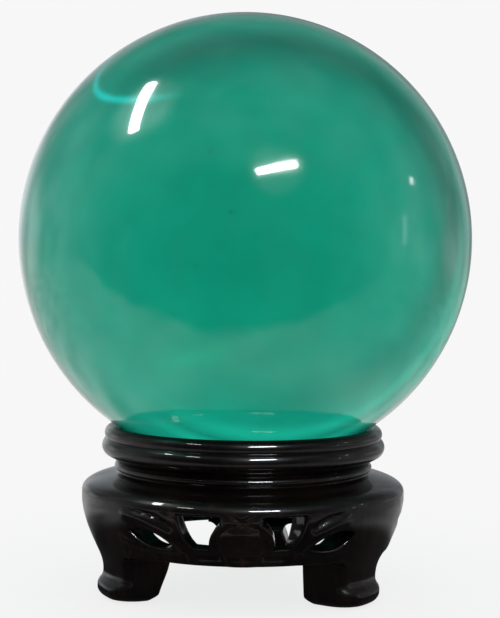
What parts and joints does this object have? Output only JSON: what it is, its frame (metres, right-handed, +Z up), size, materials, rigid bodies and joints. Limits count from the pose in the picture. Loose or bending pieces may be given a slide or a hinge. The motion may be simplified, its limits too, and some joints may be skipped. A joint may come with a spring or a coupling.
{
  "type": "crystal ball on a stand",
  "caption": "Solid glass ball resting loose in the dished rim of a small turned and pierced wooden stand with scroll feet.",
  "frame": {"origin": "on the surface the stand's feet rest on, under the ball's centre", "axes": "+Z up along the ball's and the stand's axis, the middle of the front apron panel faces -Y"},
  "size_m": [0.1, 0.1, 0.1279],
  "materials": {
    "glass": "polished, tinted through",
    "lacquered_wood": "dark gloss lacquer",
    "raw_wood": "bare",
    "seat_rubber": "matte",
    "pad_rubber": "matte"
  },
  "bodies": {
    "stand": {"rim_ring": "lacquered_wood", "waist_ring": "lacquered_wood", "shoulder_ring": "lacquered_wood", "apron_panel_1": "lacquered_wood", "apron_panel_2": "lacquered_wood", "apron_panel_3": "lacquered_wood", "leg_1": "lacquered_wood", "leg_2": "lacquered_wood", "leg_3": "lacquered_wood", "leg_dowel_1": "raw_wood", "leg_dowel_2": "raw_wood", "leg_dowel_3": "raw_wood", "foot_pad_1": "pad_rubber", "foot_pad_2": "pad_rubber", "foot_pad_3": "pad_rubber", "apron_tongues": "raw_wood", "collar_pins": "raw_wood"},
    "seat_ring": {"seat_ring": "seat_rubber"},
    "ball": {"ball": "glass"}
  },
  "joints": [
    {"name": "ball_turn", "type": "hinge", "parent": "stand", "child": "seat_ring", "pos_m": [0, 0, 0.03225], "axis": [0, 0, 1], "continuous": true},
    {"name": "ball_lift", "type": "slide", "parent": "seat_ring", "child": "ball", "axis": [0, 0, 1], "range_m": [0, 0.04]}
  ]
}
